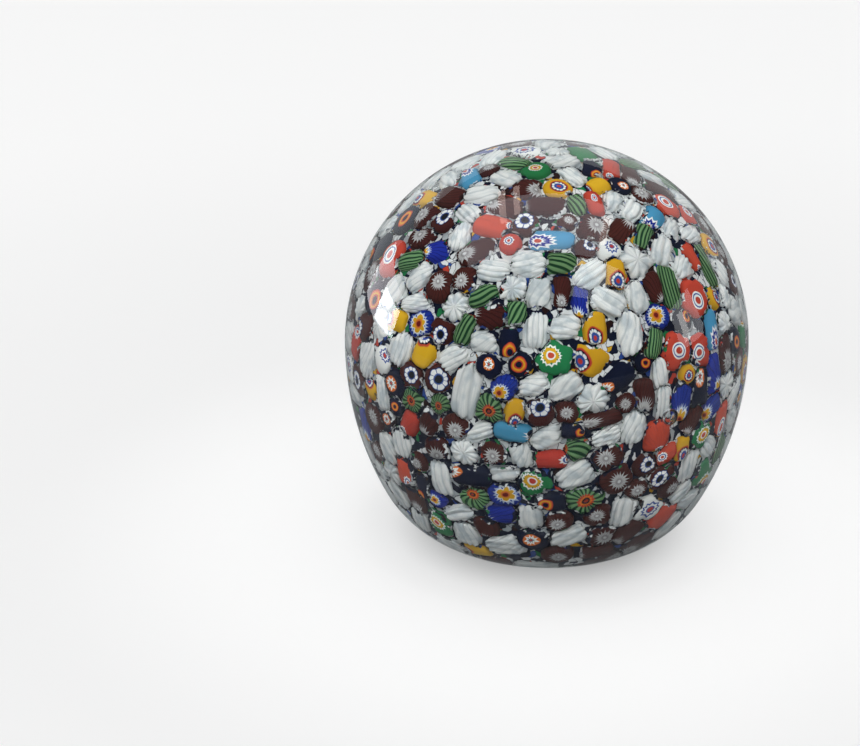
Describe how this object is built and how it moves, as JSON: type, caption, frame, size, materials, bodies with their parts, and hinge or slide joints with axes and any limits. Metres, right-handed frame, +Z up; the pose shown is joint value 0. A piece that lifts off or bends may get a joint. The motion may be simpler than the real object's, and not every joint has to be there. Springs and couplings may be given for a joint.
{
  "type": "millefiori glass paperweight",
  "caption": "Domed solid glass paperweight with cut patterned canes packed round a clear core under clear glass",
  "frame": {"origin": "centre of the flat ground base, on the surface it rests on", "axes": "+Z up through the crown, -Y towards the front as pictured, +X to the right"},
  "size_m": [0.1, 0.1, 0.1008],
  "materials": {
    "clear_glass": "polished clear crystal",
    "white_glass": "opaque white, fluted",
    "brown_glass": "dark amethyst-brown",
    "red_glass": "opaque coral red",
    "green_glass": "opaque green",
    "yellow_glass": "opaque yellow",
    "turquoise_glass": "opaque light blue",
    "cobalt_glass": "cobalt blue",
    "navy_glass": "dark navy",
    "orange_glass": "orange-red"
  },
  "bodies": {
    "root": {"glass_core": "clear_glass", "glass_casing": "clear_glass", "white_ribbed_canes": "white_glass", "brown_star_cane_walls": "brown_glass", "brown_star_cane_hearts": "white_glass", "brown_ring_cane_walls": "brown_glass", "brown_ring_cane_rings": "white_glass", "brown_ring_cane_hearts": "cobalt_glass", "red_target_cane_walls": "red_glass", "red_target_cane_rings": "white_glass", "red_target_cane_hearts": "cobalt_glass", "green_flower_cane_walls": "green_glass", "green_flower_cane_rings": "yellow_glass", "green_flower_cane_hearts": "red_glass", "green_ribbed_cane_walls": "green_glass", "green_ribbed_cane_hearts": "orange_glass", "yellow_cane_walls": "yellow_glass", "yellow_cane_hearts": "red_glass", "turquoise_cane_walls": "turquoise_glass", "turquoise_cane_hearts": "white_glass", "cobalt_cane_walls": "cobalt_glass", "cobalt_cane_hearts": "yellow_glass", "navy_bullseye_cane_walls": "navy_glass", "navy_bullseye_cane_rings": "red_glass", "navy_bullseye_cane_hearts": "yellow_glass", "navy_star_cane_walls": "navy_glass", "navy_star_cane_hearts": "white_glass", "white_flower_cane_walls": "white_glass", "white_flower_cane_rings": "cobalt_glass", "white_flower_cane_hearts": "red_glass", "red_canes": "red_glass"}
  },
  "joints": []
}
